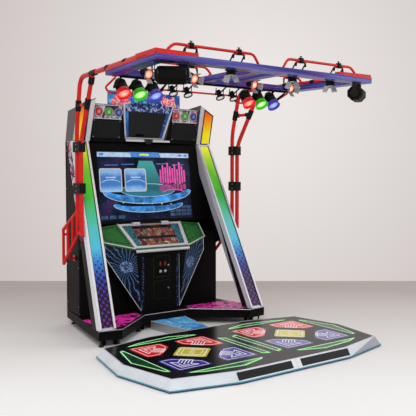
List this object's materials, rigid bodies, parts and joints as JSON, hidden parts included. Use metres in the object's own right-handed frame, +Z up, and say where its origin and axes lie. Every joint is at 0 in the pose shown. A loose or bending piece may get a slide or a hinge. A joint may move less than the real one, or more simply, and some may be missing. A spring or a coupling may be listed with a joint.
{
  "type": "dance rhythm machine",
  "caption": "Two-player dance rhythm machine: display cabinet with console, press-panel dance platform and overhead lamp frame.",
  "frame": {"origin": "on the floor under the middle of the whole machine", "axes": "+Z up, -Y towards the players' side, +X to the right seen from the front"},
  "size_m": [2.5718, 2.752, 2.61],
  "materials": {
    "black_laminate": "black laminated board, satin",
    "silver_trim": "silver anodised trim",
    "lit_cover": "translucent cover lit from behind in a colour sweep",
    "display_glass": "display glass",
    "printed_board": "printed film on board",
    "door_black": "black powder coat",
    "grey_metal": "grey sheet metal",
    "button_grey": "grey moulded button",
    "platform_edge": "bright lit edge with a cyan line",
    "deck_gloss": "gloss black with green lit strips",
    "panel_red": "lit red press panel",
    "panel_blue": "lit blue press panel",
    "panel_yellow": "lit yellow press panel",
    "red_paint": "gloss red paint on steel tube",
    "printed_truss": "purple and blue printed beams",
    "lamp_black": "black painted lamp parts",
    "lamp_housing": "black lamp housings"
  },
  "bodies": {
    "machine": {"base_plinth": "black_laminate", "body_shell": "black_laminate", "screen_bezel": "black_laminate", "main_display": "display_glass", "head_shell": "black_laminate", "marquee_frame": "silver_trim", "marquee_display": "display_glass", "header_board": "printed_board", "pillar_left": "silver_trim", "pillar_right": "silver_trim", "light_cover_left": "lit_cover", "light_cover_right": "lit_cover", "console_body": "black_laminate", "console_top": "printed_board", "touch_screen": "display_glass", "cable_duct": "printed_board", "platform_frame": "platform_edge", "platform_deck": "deck_gloss", "side_frame_left": "red_paint", "side_frame_right": "red_paint", "roof_frame": "printed_truss", "front_rail_left": "red_paint", "front_rail_right": "red_paint", "mid_rail_left": "red_paint", "mid_rail_right": "red_paint", "lamp_bar": "lamp_black", "rear_rail": "red_paint", "game_computer": "grey_metal", "cash_box": "grey_metal"},
    "rear_door": {"rear_door": "black_laminate"},
    "coin_door": {"coin_door": "door_black"},
    "cash_door": {"cash_door": "door_black"},
    "reject_button_left": {"reject_button_left": "button_grey"},
    "reject_button_right": {"reject_button_right": "button_grey"},
    "left_pad_back_left_panel": {"left_pad_back_left_panel": "panel_red"},
    "left_pad_back_right_panel": {"left_pad_back_right_panel": "panel_red"},
    "left_pad_front_left_panel": {"left_pad_front_left_panel": "panel_blue"},
    "left_pad_front_right_panel": {"left_pad_front_right_panel": "panel_blue"},
    "left_pad_centre_panel": {"left_pad_centre_panel": "panel_yellow"},
    "right_pad_back_left_panel": {"right_pad_back_left_panel": "panel_red"},
    "right_pad_back_right_panel": {"right_pad_back_right_panel": "panel_red"},
    "right_pad_front_left_panel": {"right_pad_front_left_panel": "panel_blue"},
    "right_pad_front_right_panel": {"right_pad_front_right_panel": "panel_blue"},
    "right_pad_centre_panel": {"right_pad_centre_panel": "panel_yellow"},
    "front_spot_1": {"front_spot_1": "lamp_black"},
    "front_spot_2": {"front_spot_2": "lamp_black"},
    "front_spot_3": {"front_spot_3": "lamp_black"},
    "front_spot_4": {"front_spot_4": "lamp_black"},
    "mid_spot_1": {"mid_spot_1": "lamp_black"},
    "mid_spot_2": {"mid_spot_2": "lamp_black"},
    "mid_spot_3": {"mid_spot_3": "lamp_black"},
    "mid_spot_4": {"mid_spot_4": "lamp_black"},
    "red_lamp_left": {"red_lamp_left": "lamp_housing"},
    "green_lamp_left": {"green_lamp_left": "lamp_housing"},
    "blue_lamp_left": {"blue_lamp_left": "lamp_housing"},
    "red_lamp_right": {"red_lamp_right": "lamp_housing"},
    "green_lamp_right": {"green_lamp_right": "lamp_housing"},
    "blue_lamp_right": {"blue_lamp_right": "lamp_housing"},
    "corner_lamp_left": {"corner_lamp_left": "lamp_housing"},
    "corner_lamp_right": {"corner_lamp_right": "lamp_housing"}
  },
  "joints": [
    {"name": "rear_door_hinge", "type": "hinge", "parent": "machine", "child": "rear_door", "pos_m": [-0.3292, 1.376, 0.34], "axis": [0, 0, 1], "range_deg": [0, 110]},
    {"name": "coin_door_hinge", "type": "hinge", "parent": "machine", "child": "coin_door", "pos_m": [-0.09, 0.75, 0.5], "axis": [0, 0, -1], "range_deg": [0, 100]},
    {"name": "cash_door_hinge", "type": "hinge", "parent": "machine", "child": "cash_door", "pos_m": [-0.09, 0.75, 0.27], "axis": [0, 0, -1], "range_deg": [0, 100]},
    {"name": "reject_button_left_press", "type": "slide", "parent": "coin_door", "child": "reject_button_left", "axis": [0, 1, 0], "range_m": [0, 0.004], "stiffness_N_per_m": 400, "springref_m": -0.002},
    {"name": "reject_button_right_press", "type": "slide", "parent": "coin_door", "child": "reject_button_right", "axis": [0, 1, 0], "range_m": [0, 0.004], "stiffness_N_per_m": 400, "springref_m": -0.002},
    {"name": "left_pad_back_left_press", "type": "slide", "parent": "machine", "child": "left_pad_back_left_panel", "axis": [0, 0, -1], "range_m": [0, 0.002], "stiffness_N_per_m": 20000, "springref_m": -0.004},
    {"name": "left_pad_back_right_press", "type": "slide", "parent": "machine", "child": "left_pad_back_right_panel", "axis": [0, 0, -1], "range_m": [0, 0.002], "stiffness_N_per_m": 20000, "springref_m": -0.004},
    {"name": "left_pad_front_left_press", "type": "slide", "parent": "machine", "child": "left_pad_front_left_panel", "axis": [0, 0, -1], "range_m": [0, 0.002], "stiffness_N_per_m": 20000, "springref_m": -0.004},
    {"name": "left_pad_front_right_press", "type": "slide", "parent": "machine", "child": "left_pad_front_right_panel", "axis": [0, 0, -1], "range_m": [0, 0.002], "stiffness_N_per_m": 20000, "springref_m": -0.004},
    {"name": "left_pad_centre_press", "type": "slide", "parent": "machine", "child": "left_pad_centre_panel", "axis": [0, 0, -1], "range_m": [0, 0.002], "stiffness_N_per_m": 20000, "springref_m": -0.004},
    {"name": "right_pad_back_left_press", "type": "slide", "parent": "machine", "child": "right_pad_back_left_panel", "axis": [0, 0, -1], "range_m": [0, 0.002], "stiffness_N_per_m": 20000, "springref_m": -0.004},
    {"name": "right_pad_back_right_press", "type": "slide", "parent": "machine", "child": "right_pad_back_right_panel", "axis": [0, 0, -1], "range_m": [0, 0.002], "stiffness_N_per_m": 20000, "springref_m": -0.004},
    {"name": "right_pad_front_left_press", "type": "slide", "parent": "machine", "child": "right_pad_front_left_panel", "axis": [0, 0, -1], "range_m": [0, 0.002], "stiffness_N_per_m": 20000, "springref_m": -0.004},
    {"name": "right_pad_front_right_press", "type": "slide", "parent": "machine", "child": "right_pad_front_right_panel", "axis": [0, 0, -1], "range_m": [0, 0.002], "stiffness_N_per_m": 20000, "springref_m": -0.004},
    {"name": "right_pad_centre_press", "type": "slide", "parent": "machine", "child": "right_pad_centre_panel", "axis": [0, 0, -1], "range_m": [0, 0.002], "stiffness_N_per_m": 20000, "springref_m": -0.004},
    {"name": "front_spot_1_tilt", "type": "hinge", "parent": "machine", "child": "front_spot_1", "pos_m": [-0.817, -0.905, 2.462], "axis": [1, 0, 0], "range_deg": [-20, 50]},
    {"name": "front_spot_2_tilt", "type": "hinge", "parent": "machine", "child": "front_spot_2", "pos_m": [-0.345, -0.905, 2.462], "axis": [1, 0, 0], "range_deg": [-20, 50]},
    {"name": "front_spot_3_tilt", "type": "hinge", "parent": "machine", "child": "front_spot_3", "pos_m": [0.345, -0.905, 2.462], "axis": [1, 0, 0], "range_deg": [-20, 50]},
    {"name": "front_spot_4_tilt", "type": "hinge", "parent": "machine", "child": "front_spot_4", "pos_m": [0.817, -0.905, 2.462], "axis": [1, 0, 0], "range_deg": [-20, 50]},
    {"name": "mid_spot_1_tilt", "type": "hinge", "parent": "machine", "child": "mid_spot_1", "pos_m": [-0.817, -0.345, 2.462], "axis": [1, 0, 0], "range_deg": [-20, 60]},
    {"name": "mid_spot_2_tilt", "type": "hinge", "parent": "machine", "child": "mid_spot_2", "pos_m": [-0.345, -0.345, 2.462], "axis": [1, 0, 0], "range_deg": [-20, 60]},
    {"name": "mid_spot_3_tilt", "type": "hinge", "parent": "machine", "child": "mid_spot_3", "pos_m": [0.345, -0.345, 2.462], "axis": [1, 0, 0], "range_deg": [-20, 60]},
    {"name": "mid_spot_4_tilt", "type": "hinge", "parent": "machine", "child": "mid_spot_4", "pos_m": [0.817, -0.345, 2.462], "axis": [1, 0, 0], "range_deg": [-20, 60]},
    {"name": "red_lamp_left_tilt", "type": "hinge", "parent": "machine", "child": "red_lamp_left", "pos_m": [-0.876, -0.015, 2.372], "axis": [1, 0, 0], "range_deg": [-25, 30]},
    {"name": "green_lamp_left_tilt", "type": "hinge", "parent": "machine", "child": "green_lamp_left", "pos_m": [-0.711, -0.015, 2.372], "axis": [1, 0, 0], "range_deg": [-25, 30]},
    {"name": "blue_lamp_left_tilt", "type": "hinge", "parent": "machine", "child": "blue_lamp_left", "pos_m": [-0.546, -0.015, 2.372], "axis": [1, 0, 0], "range_deg": [-25, 30]},
    {"name": "red_lamp_right_tilt", "type": "hinge", "parent": "machine", "child": "red_lamp_right", "pos_m": [0.546, -0.015, 2.372], "axis": [1, 0, 0], "range_deg": [-25, 30]},
    {"name": "green_lamp_right_tilt", "type": "hinge", "parent": "machine", "child": "green_lamp_right", "pos_m": [0.711, -0.015, 2.372], "axis": [1, 0, 0], "range_deg": [-25, 30]},
    {"name": "blue_lamp_right_tilt", "type": "hinge", "parent": "machine", "child": "blue_lamp_right", "pos_m": [0.876, -0.015, 2.372], "axis": [1, 0, 0], "range_deg": [-25, 30]},
    {"name": "corner_lamp_left_tilt", "type": "hinge", "parent": "machine", "child": "corner_lamp_left", "pos_m": [-1.02, -1.05, 2.345], "axis": [0.848, -0.5299, 0], "range_deg": [-45, 45]},
    {"name": "corner_lamp_right_tilt", "type": "hinge", "parent": "machine", "child": "corner_lamp_right", "pos_m": [1.02, -1.05, 2.345], "axis": [0.848, 0.5299, 0], "range_deg": [-45, 45]}
  ]
}
